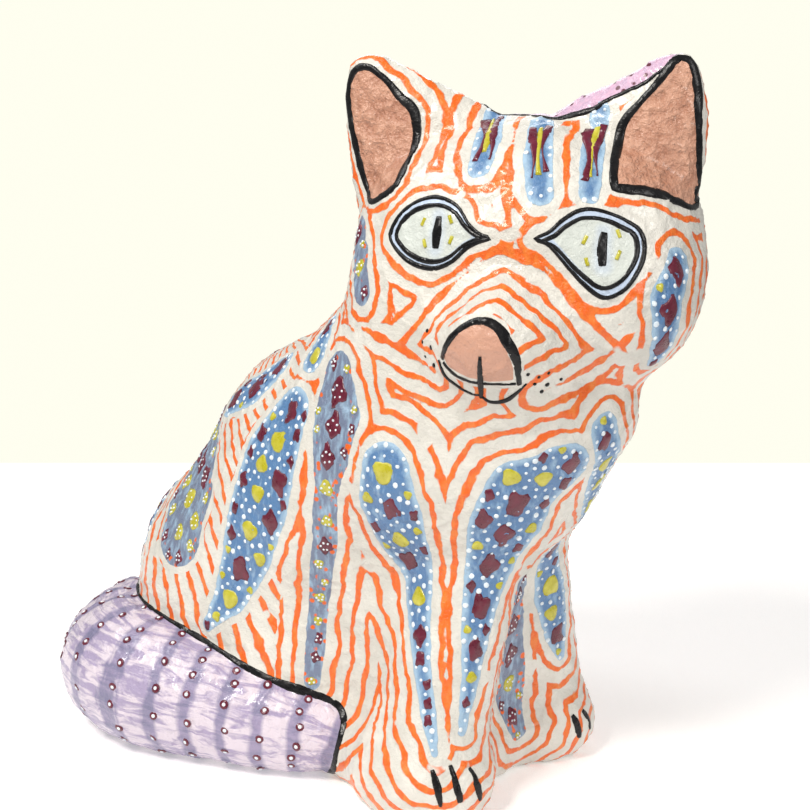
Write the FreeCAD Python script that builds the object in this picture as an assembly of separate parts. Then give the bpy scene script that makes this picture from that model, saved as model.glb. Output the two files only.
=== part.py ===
import FreeCAD, Part
import math
import os

os.makedirs("parts", exist_ok=True)

# Seated cat in papier-mache, hollow, its head turned to its right and its tail curled round its right side.
# The outer form is a smooth blend of rounded volumes. Level sections of that blend, found along rays from
# an inner axis, carry the lofted skins, and parting planes cut the hollow shell into the glued pieces.
# Millimetres, +Z up; the cat faces -Y and its left side is +X; z = 0 is the table.

V = FreeCAD.Vector

# ---- datum: where the body's mid-plane and the line through the forepaws lie --------------------------
MIDPLANE_X = 15.3
PAW_LINE_Y = -55.8

# ---- driving dimensions -------------------------------------------------------------------------------
WALL = 4.0               # papier-mache shell
BOARD = 3.0              # cardboard sole
COLLAR_WALL = 2.5        # cardboard collar inside the neck
COLLAR_REACH = 10.0      # how far the collar reaches above and below the neck joint
GLUE_GAP = 0.1           # clearance round a glued tab
BLEND = 4.0              # softness of the creases where volumes meet
NECK_Z = 156.0           # the head parts from the body at this height
LEG_TOP_Z = 86.0         # the forelegs part from the body below this height
LEG_BACK_Y = 20.0        # and in front of this plane, measured from the paw line
CROWN_FLAT = 0.8         # height of the dome that the topmost section leaves off
SPACE = 400.0            # side of the blocks that cut the pieces, larger than the cat

RAYS = 60                # points round each section
BODY_SECTIONS = 22
CROWDING = 1.25          # over 1 crowds the body's sections towards the table
HEAD_SECTIONS = 18
COARSE_STEP = 6.0        # stride along a ray, refined by halving it
HALVINGS = 14

# ---- volumes of the body, from the datum; the mirrored ones are given for the left side ---------------
RUMP = ((0, 113, 56), 58.5)
NECK = ((0, 15, 158), 49)
BACK = ((0, 68, 109), (52, 61, 58))
CHEST = ((0, 10, 130), (52, 54, 46))
RUFF = ((0, -13, 154), (45, 46, 38))
BRISKET = ((0, 34, 62), (40, 46, 80))
BASE = ((0, 92, 16), (52, 74, 26))
SKIRT = ((0, 32, 12), (46, 46, 28))
HAUNCH = ((29, 84, 44), (29, 48, 44))
LEG_TOP = ((15, -6, 96), 18)
LEG_FOOT = ((33, 0, 22), 20)
PAW = ((34, 3, 12), (24, 29, 19))

# ---- volumes of the head, in its own axes: x to its left, y backwards, z up ---------------------------
HEAD_CENTRE = V(3, -15, 206)
HEAD_TURN = -67.0
HEAD_PITCH = 4.0
HEAD_ROLL = -2.0
SKULL = ((0, 4, 2), (58, 46, 48))
TEMPLE = ((35, 6, 2), (27, 32, 38))
CHEEK = ((33, -6, -14), (29, 34, 29))
MUZZLE = ((0, -34, -23), (28, 27, 21))
NOSE = ((0, -56, -17), (14, 9, 11))
CHIN = ((0, -32, -38), (20, 20, 10))

# Inner axis of the sections, from the datum: on the table, at the neck joint and under the crown.
AXIS_FOOT = (0.0, 50.0)
AXIS_NECK = (0.0, 0.0)
AXIS_CROWN = (4.0, -13.0)

# ---- ears, in head axes: height, inner edge, outer edge, half thickness -------------------------------
EAR = (
    (14, 22, 60, 12),
    (30, 10, 63, 13),
    (42, 4, 64, 11.5),
    (52, 15, 64, 9),
    (60, 31, 63, 6.5),
    (66, 44, 61, 4.5),
    (69, 50, 58, 3),
)
RIGHT_EAR_WIDER = 2.5     # the right ear stands out further than the left one
RIGHT_EAR_TALLER = 1.05
EAR_Y = 4.0
EAR_POINTS = 24
EAR_TAB = (16.0, 5.0, 24.0)    # width, thickness and length of the tab that goes through the skull
EAR_TAB_X = 42.0
EAR_TAB_TOP = 48.0

# ---- tail: centreline on the table and radius, from the tip at the right foreleg to the root ----------
TAIL = (
    (-33, 36, 13),
    (-40, 52, 19),
    (-50, 76, 22.5),
    (-58, 99, 25),
    (-63, 124, 27),
    (-54, 149, 27.5),
    (-28, 165, 26),
    (12, 142, 16),
)
TAIL_SINK = 0.95         # height of the centreline over the radius, which leaves a flat under the tail
TAIL_WALL = 3.5

# ---- left hind paw: centreline from the datum, height and radius --------------------------------------
HIND_PAW = ((40, 66, 8, 9), (43, 50, 9, 12), (45, 34, 9, 12.5), (46, 22, 8, 10), (46, 15, 7, 5))

# ---- rolled newspaper inside: foot and top from the datum, and radii ----------------------------------
LEG_ROLL = ((32, 2, -6), (14, 8, 108))
LEG_ROLL_R = 8.0
SPINE = ((0, 74, -6), (2, -6, 226))
SPINE_R = 9.0
SPINE_BORE = 6.0


def from_datum(x, y, z):
    return V(x + MIDPLANE_X, y + PAW_LINE_Y, z)


# ---- the blended form ---------------------------------------------------------------------------------
def ellipsoid(centre, half):
    """Approximate signed distance from an ellipsoid."""
    def distance(p):
        scaled = [(p[i] - centre[i]) / half[i] for i in range(3)]
        length = math.hypot(*scaled)
        slope = math.hypot(*[scaled[i] / half[i] for i in range(3)])
        return length * (length - 1.0) / max(slope, 1e-9)
    return distance


def limb(start, end):
    """Distance from a limb whose radius runs evenly from one ball to the other."""
    (a, radius_a), (b, radius_b) = start, end
    along = [b[i] - a[i] for i in range(3)]
    square = sum(c * c for c in along)

    def distance(p):
        offset = [p[i] - a[i] for i in range(3)]
        share = sum(offset[i] * along[i] for i in range(3)) / square
        share = min(1.0, max(0.0, share))
        return math.dist(offset, [share * c for c in along]) - (radius_a + share * (radius_b - radius_a))
    return distance


def mirrored(volume):
    (x, y, z), size = volume
    return ((-x, y, z), size)


def ellipsoid_pair(volume):
    return [ellipsoid(*volume), ellipsoid(*mirrored(volume))]


BODY_VOLUMES = [
    limb(RUMP, NECK),
    ellipsoid(*BACK),
    ellipsoid(*CHEST),
    ellipsoid(*RUFF),
    ellipsoid(*BRISKET),
    ellipsoid(*BASE),
    ellipsoid(*SKIRT),
    limb(LEG_TOP, LEG_FOOT),
    limb(mirrored(LEG_TOP), mirrored(LEG_FOOT)),
    *ellipsoid_pair(HAUNCH),
    *ellipsoid_pair(PAW),
]
HEAD_VOLUMES = [
    ellipsoid(*SKULL),
    ellipsoid(*MUZZLE),
    ellipsoid(*NOSE),
    ellipsoid(*CHIN),
    *ellipsoid_pair(TEMPLE),
    *ellipsoid_pair(CHEEK),
]

HEAD_ROTATION = FreeCAD.Rotation(V(0, 0, 1), HEAD_TURN)
HEAD_ROTATION = HEAD_ROTATION.multiply(FreeCAD.Rotation(V(1, 0, 0), HEAD_PITCH))
HEAD_ROTATION = HEAD_ROTATION.multiply(FreeCAD.Rotation(V(0, 1, 0), HEAD_ROLL))
INTO_HEAD = HEAD_ROTATION.inverted()


def form(p):
    """Distance from the outer form of body and head together, negative inside."""
    in_head = INTO_HEAD.multVec(V(*p) - HEAD_CENTRE)
    distances = [volume(p) for volume in BODY_VOLUMES]
    distances += [volume((in_head.x, in_head.y, in_head.z)) for volume in HEAD_VOLUMES]
    least = min(distances)
    return least - BLEND * math.log(sum(math.exp((least - d) / BLEND) for d in distances))


# ---- sections and lofts -------------------------------------------------------------------------------
def between(start, end, share):
    return tuple(a + (b - a) * share for a, b in zip(start, end))


def axis_at(z):
    """A point on the inner axis, from which the whole outline at that height can be seen."""
    if z <= NECK_Z:
        share = (z / NECK_Z) ** 2    # keeps to the middle of the broad base before it leans forward
        return between(AXIS_FOOT, AXIS_NECK, share)
    share = (z - NECK_Z) / (HEAD_CENTRE.z - NECK_Z)
    return between(AXIS_NECK, AXIS_CROWN, min(1.0, share))


def last_inside(inside):
    """Largest reach along a ray that is still inside."""
    reach = 0.0
    step = COARSE_STEP
    while inside(reach + step):
        reach += step
    for _ in range(HALVINGS):
        step *= 0.5
        if inside(reach + step):
            reach += step
    return reach


def closed_curve(points):
    """Smooth closed wire, with the same knots for the same number of points, which keeps the lofts light."""
    curve = Part.BSplineCurve()
    knots = [float(i) for i in range(len(points) + 1)]
    curve.interpolate(Points=points, PeriodicFlag=True, Parameters=knots)
    return Part.Wire([curve.toShape()])


def outline(z, depth):
    """Closed wire round the form at one height, taken in by depth."""
    centre_x, centre_y = axis_at(z)
    points = []
    for i in range(RAYS):
        angle = 2 * math.pi * i / RAYS
        dx = math.cos(angle)
        dy = math.sin(angle)
        reach = last_inside(lambda r: form((centre_x + r * dx, centre_y + r * dy, z)) < -depth)
        points.append(from_datum(centre_x + reach * dx, centre_y + reach * dy, z))
    return closed_curve(points)


def loft(wires):
    return Part.makeLoft(wires, True, False)


def crown(depth):
    """Height of the form's top under the crown, taken in by depth."""
    x, y = AXIS_CROWN
    return HEAD_CENTRE.z + last_inside(lambda r: form((x, y, HEAD_CENTRE.z + r)) < -depth)


def body_form(depth=0.0):
    """Body from the table to the neck, with sections closer together where the paws swell."""
    heights = [NECK_Z * (i / BODY_SECTIONS) ** CROWDING for i in range(BODY_SECTIONS + 1)]
    return loft([outline(z, depth) for z in heights])


def head_form(depth=0.0):
    """Head from the neck to the crown, with sections closer together at both ends."""
    rise = crown(depth) - CROWN_FLAT - NECK_Z
    shares = [0.5 - 0.5 * math.cos(math.pi * i / HEAD_SECTIONS) for i in range(HEAD_SECTIONS + 1)]
    return loft([outline(NECK_Z + rise * share, depth) for share in shares])


def tube(points):
    """Round bar through centres with their own radii."""
    centres = [from_datum(x, y, z) for x, y, z, _ in points]
    spine = Part.BSplineCurve()
    spine.interpolate(Points=centres)
    wires = []
    for centre, point in zip(centres, points):
        tangent = spine.tangent(spine.parameter(centre))[0]
        wires.append(Part.Wire([Part.Circle(centre, tangent, point[3]).toShape()]))
    return loft(wires)


def roll(foot, top, radius):
    """Straight bar between two points."""
    start = from_datum(*foot)
    along = from_datum(*top) - start
    return Part.makeCylinder(radius, along.Length, start, along)


def block(x=None, y=None, z=None):
    """Block from the datum; each span is (low, high), and a missing one reaches right across."""
    (x0, x1), (y0, y1), (z0, z1) = [span or (-SPACE, SPACE) for span in (x, y, z)]
    return Part.makeBox(x1 - x0, y1 - y0, z1 - z0, from_datum(x0, y0, z0))


def above_table():
    return block(z=(0, SPACE))


def tail_form(depth):
    """Tail resting on the table, taken in by depth."""
    return tube([(x, y, r * TAIL_SINK, r - depth) for x, y, r in TAIL]).common(above_table())


# ---- ears ---------------------------------------------------------------------------------------------
def from_head(x, y, z):
    p = HEAD_ROTATION.multVec(V(x, y, z)) + HEAD_CENTRE
    return from_datum(p.x, p.y, p.z)


def ear_form(side):
    """Broad flat ear; side is 1 for the left ear and -1 for the right one."""
    wires = []
    for z, inner, outer, half in EAR:
        if side < 0:
            outer += RIGHT_EAR_WIDER
            z = EAR[0][0] + (z - EAR[0][0]) * RIGHT_EAR_TALLER
        middle = 0.5 * (inner + outer)
        wide = 0.5 * (outer - inner)
        points = []
        for i in range(EAR_POINTS):
            angle = 2 * math.pi * i / EAR_POINTS
            x = side * (middle + wide * math.cos(angle))
            points.append(from_head(x, EAR_Y + half * math.sin(angle), z))
        wires.append(closed_curve(points))
    return loft(wires)


def in_head_place(shape):
    shape.Placement = FreeCAD.Placement(from_head(0, 0, 0), HEAD_ROTATION)
    return shape


def ear_tab(side, gap):
    """Tab under an ear, grown by a gap."""
    width, thickness, length = EAR_TAB
    corner = V(side * EAR_TAB_X - width / 2 - gap, EAR_Y - thickness / 2 - gap, EAR_TAB_TOP - length - gap)
    return in_head_place(Part.makeBox(width + 2 * gap, thickness + 2 * gap, length + gap, corner))


def head_half(facing):
    """Block in front of (-1) or behind (1) the plane through both ears."""
    y = EAR_Y if facing > 0 else EAR_Y - SPACE
    return in_head_place(Part.makeBox(2 * SPACE, SPACE, 2 * SPACE, V(-SPACE, y, -SPACE)))


# ---- pieces -------------------------------------------------------------------------------------------
def save(name, shape):
    """Write the one closed solid of a piece."""
    shape.Solids[0].exportStep("parts/%s.step" % name)


def make_body_shells(body, hollow):
    """Two halves that meet on the mid-plane, and the forelegs parted from them."""
    shell = body.cut(hollow)
    leg_room = block(y=(-SPACE, LEG_BACK_Y), z=(-SPACE, LEG_TOP_Z))
    for side, x in (("right", (-SPACE, 0)), ("left", (0, SPACE))):
        half = shell.common(block(x=x))
        save("body_shell_" + side, half.cut(leg_room))
        save("foreleg_" + side, half.common(leg_room))


def make_head_shells(head, hollow):
    """Face and back of the head, and the two ears with their tabs through slots in both."""
    shell = head.cut(hollow)
    for side, sign in (("right", -1), ("left", 1)):
        save("ear_" + side, ear_form(sign).cut(head).fuse(ear_tab(sign, 0.0)))
        shell = shell.cut(ear_tab(sign, GLUE_GAP))
    save("face_shell", shell.common(head_half(-1)))
    save("back_of_head_shell", shell.common(head_half(1)))


def make_tail(body):
    """Tail skin and its paper filling, both fitted to the body's side."""
    core = tail_form(TAIL_WALL).cut(body_form(-TAIL_WALL))
    save("tail_core", core)
    save("tail_shell", tail_form(0.0).cut(body).cut(core))


def make_collar(body_hollow, head_hollow):
    """Card band inside the neck that joins head and body."""
    room = block(z=(NECK_Z - COLLAR_REACH, NECK_Z + COLLAR_REACH))
    band = body_hollow.fuse(head_hollow).common(room)
    inner = WALL + COLLAR_WALL
    save("neck_collar", band.cut(body_form(inner)).cut(head_form(inner)))


def make_rolls():
    """Newspaper rolls that stand on the sole: one in each foreleg, and a tube up to the head."""
    above_board = block(z=(BOARD, SPACE))
    tube_wall = roll(*SPINE, SPINE_R).cut(roll(*SPINE, SPINE_BORE))
    save("spine_tube", tube_wall.common(above_board))
    for side, sign in (("right", -1), ("left", 1)):
        foot, top = [(sign * x, y, z) for x, y, z in LEG_ROLL]
        save("leg_roll_" + side, roll(foot, top, LEG_ROLL_R).common(above_board))


def make_cat():
    body = body_form()
    body_hollow = body_form(WALL)
    head = head_form()
    head_hollow = head_form(WALL)
    make_body_shells(body, body_hollow)
    make_head_shells(head, head_hollow)
    make_tail(body)
    save("hind_paw_left", tube(HIND_PAW).common(above_table()).cut(body))
    save("base_board", body_hollow.common(block(z=(0, BOARD))))
    make_collar(body_hollow, head_hollow)
    make_rolls()


make_cat()
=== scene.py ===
import math
import random

import bpy
import numpy as np
from mathutils import Euler, Matrix, Vector, noise
from mathutils.bvhtree import BVHTree


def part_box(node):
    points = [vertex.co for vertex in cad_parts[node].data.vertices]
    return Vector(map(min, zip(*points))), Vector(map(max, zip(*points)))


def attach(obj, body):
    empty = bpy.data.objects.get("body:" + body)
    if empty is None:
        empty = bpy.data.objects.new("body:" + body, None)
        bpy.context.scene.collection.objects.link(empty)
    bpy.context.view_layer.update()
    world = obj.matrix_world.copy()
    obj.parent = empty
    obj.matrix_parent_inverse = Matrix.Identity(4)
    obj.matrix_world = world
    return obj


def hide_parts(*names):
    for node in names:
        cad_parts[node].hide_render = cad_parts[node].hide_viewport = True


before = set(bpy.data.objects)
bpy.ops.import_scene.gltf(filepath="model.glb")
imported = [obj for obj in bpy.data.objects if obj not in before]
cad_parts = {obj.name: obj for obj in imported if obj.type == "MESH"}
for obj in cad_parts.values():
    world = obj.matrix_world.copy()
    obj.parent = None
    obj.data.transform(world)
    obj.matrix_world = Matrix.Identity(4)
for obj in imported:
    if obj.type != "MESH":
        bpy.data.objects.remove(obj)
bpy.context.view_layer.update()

MM = 0.001

# ---- the cat's own axes, in the row frame ---------------------------------------------------------------------
MIDPLANE_X = 15.3 * MM
PAW_LINE_Y = -55.8 * MM
LEG_TOP_Z = 86 * MM
LEG_BACK_Y = PAW_LINE_Y + 20 * MM
NECK_Z = 156 * MM
HEAD_CENTRE = Vector((18.3, -70.8, 206)) * MM
HEAD_AXES = Matrix.Rotation(math.radians(-67), 3, "Z") @ Matrix.Rotation(math.radians(4), 3, "X")
HEAD_AXES = HEAD_AXES @ Matrix.Rotation(math.radians(-2), 3, "Y")
EAR_PLANE_Y = 4 * MM
CAMERA_AZIMUTH = math.radians(50)
TABLE_REACH = 0.44

# ---- skin -----------------------------------------------------------------------------------------------------
VOXEL = 1.0 * MM
SOFTENING_PASSES = 14
SKIN_WALL = 1.2 * MM
BODY_NODES = ("body_shell_right", "body_shell_left", "foreleg_right", "foreleg_left", "face_shell",
              "back_of_head_shell")
ADDED_NODES = ("ear_right", "ear_left", "tail_shell", "hind_paw_left")


def joined_mesh(names, name):
    """One mesh holding the meshes of several CAD nodes."""
    vertices = []
    faces = []
    for node in names:
        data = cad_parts[node].data
        start = len(vertices)
        vertices += [v.co[:] for v in data.vertices]
        faces += [[start + i for i in p.vertices] for p in data.polygons]
    mesh = bpy.data.meshes.new(name)
    mesh.from_pydata(vertices, [], faces)
    return mesh


def fused_skin():
    """The outside of all the outer pieces as one closed mesh of even quads."""
    mesh = joined_mesh(BODY_NODES + ADDED_NODES + ("base_board",), "fused")
    draft = bpy.data.objects.new("fused", mesh)
    bpy.context.collection.objects.link(draft)
    remesh = draft.modifiers.new("even", "REMESH")
    remesh.mode = "VOXEL"
    remesh.voxel_size = VOXEL
    graph = bpy.context.evaluated_depsgraph_get()
    fused = bpy.data.meshes.new_from_object(draft.evaluated_get(graph))
    bpy.data.objects.remove(draft)
    return fused


def read_points(mesh, field="co"):
    values = np.empty(len(mesh.vertices) * 3)
    mesh.vertices.foreach_get(field, values)
    return values.reshape(-1, 3)


def read_faces(mesh):
    values = np.empty(len(mesh.loops), dtype=np.int32)
    mesh.loops.foreach_get("vertex_index", values)
    return values.reshape(-1, 4)


def write_points(mesh, points):
    mesh.vertices.foreach_set("co", points.ravel())
    mesh.update()


class Skin:
    """Points, faces and outward normals of the fused skin."""

    def __init__(self, mesh):
        self.mesh = mesh
        self.points = read_points(mesh)
        self.faces = read_faces(mesh)
        self.edges = np.empty(len(mesh.edges) * 2, dtype=np.int32)
        mesh.edges.foreach_get("vertices", self.edges)
        self.edges = self.edges.reshape(-1, 2)
        self.degree = np.bincount(self.edges.ravel(), minlength=len(self.points))
        self.refresh()

    def refresh(self):
        write_points(self.mesh, self.points)
        self.normals = read_points(self.mesh, "normal")

    def mean_of_neighbours(self, values):
        a, b = self.edges[:, 0], self.edges[:, 1]
        count = len(self.points)
        total = np.bincount(a, weights=values[b], minlength=count)
        total += np.bincount(b, weights=values[a], minlength=count)
        return total / self.degree

    def relaxed(self, values, passes):
        """Values, one per point, evened out with those of the neighbours."""
        for _ in range(passes):
            values = 0.5 * values + 0.5 * self.mean_of_neighbours(values)
        return values

    def soften(self, passes):
        """Rounds the creases off."""
        for axis in range(3):
            self.points[:, axis] = self.relaxed(self.points[:, axis], passes)
        self.points[:, 2] = np.maximum(self.points[:, 2], 0.0)
        self.refresh()

    def raise_by(self, heights):
        self.points += self.normals * heights[:, None]
        self.points[:, 2] = np.maximum(self.points[:, 2], 0.0)
        self.refresh()

    def tree(self):
        return BVHTree.FromPolygons(self.points.tolist(), self.faces.tolist())


def paper_height(p):
    """Unevenness of pasted and dried paper at one point: dents, lumps and the ridges of creased layers."""
    q = Vector(p)
    dents = noise.fractal(q / (34 * MM), 1.0, 2.0, 2) * 0.9
    lumps = noise.noise(q / (10 * MM)) * 0.34
    warp = noise.noise_vector(q / (12 * MM)) * 0.6
    crease = 1.0 - abs(noise.noise(q / (9 * MM) + warp))
    fine = 1.0 - abs(noise.noise(q / (4.6 * MM) - warp))
    return (dents + lumps + 0.55 * (crease ** 6 - 0.4) + 0.42 * (fine ** 5 - 0.4)) * MM


skin = Skin(fused_skin())
skin.soften(SOFTENING_PASSES)
skin.raise_by(np.array([paper_height(p) for p in skin.points.tolist()]))


# Spacing of the orange lines, half their width, and where the first one lies, in millimetres.
LINE_PITCH = 6.6
LINE_HALF_WIDTH = 1.12
FIRST_LINE = 4.4

# ---- where the painted features lie ---------------------------------------------------------------------------
def head_point(x, y, z):
    """A point given in millimetres in the head's own axes: x to its left, y backwards, z up."""
    return HEAD_AXES @ (Vector((x, y, z)) * MM) + HEAD_CENTRE


# Teardrop patches: name, style, and a middle line of points with the patch's half width, all in millimetres.
# Style 0 is blue with white dots, style 1 grey-blue with small orange dots.
BODY_PATCHES = (
    ("chest_right", 0, ((-38, -51, 133, 10.5), (-35.5, -51, 119, 13), (-29, -52, 101, 11), (-23, -54, 82, 6.5),
                        (-27, -60, 61, 3.8), (-30, -66, 41, 2.8), (-32, -70, 29, 1.5))),
    ("chest_left", 0, ((-5, -102, 137, 11.5), (-13, -94, 129, 14), (-14, -88, 114, 14), (-11, -79, 96, 9.5),
                       (-14, -76, 77, 6.5), (-18, -76, 55, 3.8), (-22, -75, 36, 1.8))),
    ("flank_right", 0, ((-32, -1, 146, 10), (-36, 5, 131, 14), (-38, 10, 111, 14.5), (-40, 17, 90, 12),
                        (-42, 26, 69, 7.5), (-45, 36, 56, 2.5))),
    ("shoulder_right", 0, ((-17, -6, 178, 5), (-24, -5, 167, 7))),
    ("stripe_right", 1, ((-31, -24, 164, 8), (-35, -26, 149, 11.5), (-37, -25, 134, 8.5), (-36.5, -22, 119, 5),
                         (-32, -17, 99, 5), (-28, -10, 73, 4), (-31, -10, 53, 3.8), (-33, -10, 40, 3))),
    ("rump_right", 1, ((-18, 70, 130, 11), (-28, 63, 119, 18), (-36, 61, 106, 20), (-42, 62, 92, 16))),
    ("nape_right", 0, ((-18, 21, 160, 7), (-22, 30, 150, 8.5), (-20, 46, 142, 7))),
    ("shoulder_left", 0, ((7, -114, 150, 6), (22, -104, 127, 8), (34, -92, 106, 5))),
    ("foreleg_left", 0, ((22, -82, 95, 5.5), (29, -78, 76, 8), (35, -77, 58, 6), (39, -77, 46, 2))),
    ("inner_left", 1, ((9, -74, 84, 5), (14, -71, 62, 6.5), (18, -69, 38, 8), (20, -71, 19, 4.5))),
    ("flank_left", 0, ((63, 0, 146, 10), (68, 4, 131, 14), (72, 10, 110, 14), (74, 18, 88, 11),
                       (75, 28, 66, 7), (75, 38, 50, 3))),
    ("stripe_left", 1, ((58, -50, 152, 9), (64, -46, 134, 10), (64, -38, 112, 7), (58, -30, 84, 5),
                        (60, -28, 58, 4), (63, -28, 36, 3))),
    ("rump_left", 1, ((46, 74, 122, 9), (58, 68, 108, 14), (66, 64, 90, 12), (70, 62, 72, 5))),
    ("haunch_left", 0, ((60, 92, 68, 10), (66, 84, 48, 9), (70, 74, 32, 5), (70, 68, 20, 2.5))),
    ("neck_left", 0, ((58, -14, 176, 6), (60, -16, 162, 7.5))),
    ("nape_left", 0, ((46, 28, 162, 7), (50, 38, 150, 8.5), (48, 50, 140, 7))),
    ("spine_upper", 0, ((16, 40, 178, 7), (16, 58, 160, 10), (17, 72, 143, 8), (17, 82, 130, 3.5))),
    ("spine_lower", 1, ((14, 96, 114, 9), (14, 110, 92, 13), (14, 116, 70, 9))),
    ("back_right", 0, ((-14, 96, 96, 6), (-20, 100, 80, 8), (-24, 100, 66, 5))),
    ("back_left", 0, ((42, 98, 98, 6), (48, 102, 80, 8), (52, 102, 64, 5))),
)
HEAD_PATCHES = (
    ("brow_right", 0, ((-10, 3, 50, 4), (-8, -18, 43, 5), (-8.5, -28, 35, 4.5))),
    ("brow_middle", 0, ((9, -6, 48, 4), (11, -24, 38, 5), (13, -33, 27, 4.5))),
    ("brow_left", 0, ((29, -2, 50, 3.5), (28, -16, 39, 4.2), (29, -29, 26, 3.8))),
    ("cheek_left", 0, ((58, -21, 1, 6), (55, -29, -10, 7.5), (53, -26, -26, 6), (50, -24, -34, 2.5))),
    ("cheek_right", 1, ((-58, -15, 12, 5.5), (-55, -23, 2, 6), (-52, -31, -8, 4.5))),
    ("temple_right", 0, ((-58, 22, 6, 6), (-54, 26, -8, 7), (-50, 24, -22, 4))),
    ("temple_left", 0, ((57, 22, 8, 7), (56, 26, -8, 8), (50, 24, -24, 4))),
    ("nape_middle", 1, ((0, 48, 22, 8), (0, 52, 4, 10), (0, 50, -14, 6))),
    ("nape_side_right", 0, ((-30, 44, 20, 6), (-32, 46, 4, 8), (-30, 46, -10, 4))),
    ("nape_side_left", 0, ((30, 44, 20, 6), (32, 46, 4, 8), (30, 46, -10, 4))),
)

# Outlines in the plane of the face, in millimetres: across to the cat's left, and up.
EYES = {
    "eye_right": ((-41, 13), (-37, 20), (-30, 24.5), (-22, 26), (-15, 23.5), (-10.5, 18), (-6, 14.5), (-2.6, 13.4),
                  (-6, 12.5), (-11, 10), (-17, 5), (-24, 2.8), (-32, 4.5), (-38, 8.5)),
    "eye_left": ((12.6, 13.2), (17, 15), (21, 18.5), (27, 21.5), (34, 20.5), (41, 17), (46, 12.5), (47, 5),
                 (43.5, -2.5), (39, -6), (34.5, -6.5), (29, -2.5), (22, 5), (17, 11)),
}
PUPILS = {"eye_right": ((-21.5, 20), (-22, 15), (-22.5, 9.5)), "eye_left": ((34.5, 14), (34, 9), (34.5, 3.5))}
NOSE = ((-16, -23), (-11.5, -15.5), (-6, -11.5), (0, -10), (4.5, -12.5), (7.5, -18), (9, -25), (8.5, -30),
        (0, -30.5), (-8, -29), (-14, -26.5))
EARS = {
    "ear_right": ((-64.5, 58), (-62, 66), (-56, 68.5), (-49, 64), (-43.5, 58), (-38, 53), (-36.5, 45), (-38, 37),
                  (-41, 29), (-47, 24.5), (-53, 22), (-57, 26), (-60.5, 36), (-63, 47)),
    "ear_left": ((55.5, 67.5), (59, 66), (61.3, 58), (62, 42), (61.8, 28), (61, 17.5), (59.6, 17.5), (53, 22.5),
                 (46, 25.5), (38, 27), (36.5, 28), (35.5, 36), (36.5, 46), (42, 53), (48, 59.5), (53, 66)),
}

# Lines of black paint, in the plane of the face like the outlines above.
NOSE_ARCH = ((-16.5, -24), (-12, -16), (-6, -11), (0, -9.5), (5, -12), (8.6, -17.5), (10.4, -24), (10, -32))
NOSE_FOOT = ((-16, -25.5), (-12, -29), (-6, -31), (2, -31.5), (9, -31.5))
NOSE_BAR = ((-1.3, -21), (-2.2, -28), (-3.8, -37.5))
MOUTH = (((-18, -25), (-16.5, -30), (-12, -34), (-7, -36.3), (-4, -36.5)),
         ((-4, -36.5), (-1, -39), (4, -38.7), (8.5, -35.5), (12, -32)))
WHISKER_ROOTS = ((-24, -17), (-26, -21), (-22, -22), (-25, -26), (-21, -28), (13, -28.5), (16, -30), (19, -29),
                 (14.5, -32.5), (18, -33.5), (22, -32.5), (16, -36))
# The black edge along the crest of the head: across, and back.
CREST = ((-50, 9), (-38, 9.5), (-24, 9), (-12, 5), (0, 0), (12, -1.5), (25, -3), (33, -2.5), (43, -1.9),
         (52, 0), (58, 6), (66, 9))
CREST_FLOOR = 30
# Claw strokes in the row frame.
CLAWS = (((-34.5, -71, 24), (-35, -74, 18), (-35, -75.5, 11)), ((-29, -75, 25), (-29.5, -78, 19), (-29, -80, 12)),
         ((-23, -79, 23), (-21.5, -81, 17), (-20, -82, 10)),
         ((42.8, -80, 20.8), (44.5, -81, 16), (45.6, -82, 11)), ((49, -80.6, 21), (51.5, -81, 17), (53, -82, 12)))

# Orange lines across the face that the others follow: over the nose, up the brow and from mouth to cheeks.
FACE_GUIDES = (((-36, -24), (-20, -6), (-4, 7), (4, 9), (14, 4), (28, -10), (42, -28)),
               ((-22, -30), (-36, -25), (-52, -20)), ((16, -36), (32, -30), (46, -18)),
               ((4, 10), (3, 22), (1, 34)))
# The strokes round the hindquarters turn about this upright line, lean more with height, start behind this
# plane and end at this height.
FRINGE_CENTRE = (15, 45)
FRINGE_RADIUS = 44
FRINGE_SWEEP = 0.0028
FRINGE_FRONT_Y = 4
FRINGE_TOP_Z = 168

# The tail's middle line on the table and its radius, from its tip to its root, in millimetres from the datum.
TAIL = ((-33, 36, 13), (-40, 52, 19), (-50, 76, 22.5), (-58, 99, 25), (-63, 124, 27), (-54, 149, 27.5),
        (-28, 165, 26), (12, 142, 16))


def datum_point(x, y, z):
    return Vector((x * MM + MIDPLANE_X, y * MM + PAW_LINE_Y, z * MM))


# ---- distances on the skin --------------------------------------------------------------------------------------
def distance_to_line(points, line, radii):
    """Distance of every point from a line of straight runs whose half width changes along it."""
    best = np.full(len(points), 1e9)
    for i in range(len(line) - 1):
        start = np.array(line[i])
        along = np.array(line[i + 1]) - start
        share = np.clip((points - start) @ along / (along @ along), 0.0, 1.0)
        apart = np.linalg.norm(points - start - share[:, None] * along, axis=1)
        best = np.minimum(best, apart - radii[i] - share * (radii[i + 1] - radii[i]))
    return best


def distance_in_outline(across, up, outline):
    """Signed distance of flat points from a closed outline, negative inside."""
    corners = np.array(outline, dtype=float)
    apart = np.full(len(across), 1e9)
    inside = np.zeros(len(across), dtype=bool)
    for (ax, ay), (bx, by) in zip(corners, np.roll(corners, -1, axis=0)):
        ex, ey = bx - ax, by - ay
        share = np.clip(((across - ax) * ex + (up - ay) * ey) / (ex * ex + ey * ey), 0.0, 1.0)
        apart = np.minimum(apart, np.hypot(across - ax - share * ex, up - ay - share * ey))
        crossed = (ay > up) != (by > up)
        reach = ax + (up - ay) / np.where(ey == 0, 1e-9, ey) * ex
        inside ^= crossed & (across < reach)
    return np.where(inside, -apart, apart)


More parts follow.
